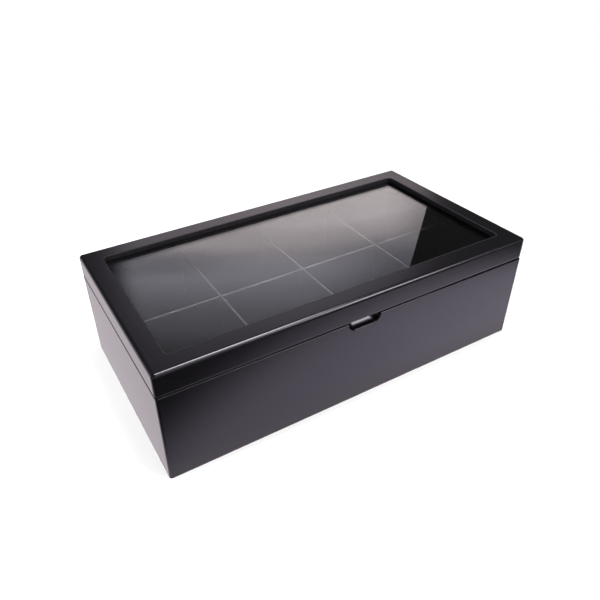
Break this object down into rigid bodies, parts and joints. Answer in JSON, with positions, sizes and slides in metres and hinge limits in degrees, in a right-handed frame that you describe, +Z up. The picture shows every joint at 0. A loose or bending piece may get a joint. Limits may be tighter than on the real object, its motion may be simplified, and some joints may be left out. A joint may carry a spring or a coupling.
{
  "type": "tea bag organizer box",
  "caption": "Low rectangular box with a hinged, glass-topped lid over compartments for wrapped tea bags and a finger scoop under the lid's front edge.",
  "frame": {"origin": "centre of the case's underside, on the surface that it stands on", "axes": "+X along the width to the right, +Y from the front with its finger scoop to the hinged back, +Z up"},
  "size_m": [0.34, 0.181, 0.1],
  "materials": {
    "case_lacquer": "black satin lacquer on solid wood",
    "lid_lacquer": "black satin lacquer on solid wood",
    "divider_board": "thin board, stained and lacquered charcoal",
    "window_glass": "clear float glass",
    "bead_lacquer": "black satin lacquer on solid wood",
    "pad_rubber": "soft black pad",
    "hinge_nickel": "nickel plated, brushed",
    "pin_steel": "turned steel",
    "screw_steel": "zinc plated steel"
  },
  "bodies": {
    "case": {"front_wall": "case_lacquer", "back_wall": "case_lacquer", "left_wall": "case_lacquer", "right_wall": "case_lacquer", "bottom_panel": "case_lacquer", "long_divider": "divider_board", "cross_divider_left": "divider_board", "cross_divider_middle": "divider_board", "cross_divider_right": "divider_board", "seam_pads": "pad_rubber", "case_leaf_left": "hinge_nickel", "case_leaf_right": "hinge_nickel", "hinge_pin_left": "pin_steel", "hinge_pin_right": "pin_steel", "case_screws": "screw_steel"},
    "lid": {"lid_front_rail": "lid_lacquer", "lid_back_rail": "lid_lacquer", "lid_left_rail": "lid_lacquer", "lid_right_rail": "lid_lacquer", "glass_pane": "window_glass", "bead_front": "bead_lacquer", "bead_back": "bead_lacquer", "bead_left": "bead_lacquer", "bead_right": "bead_lacquer", "lid_leaf_left": "hinge_nickel", "lid_leaf_right": "hinge_nickel", "lid_screws": "screw_steel"}
  },
  "joints": [
    {"name": "lid_hinge", "type": "hinge", "parent": "case", "child": "lid", "pos_m": [0, 0.089, 0.07975], "axis": [-1, 0, 0], "range_deg": [0, 95]}
  ]
}
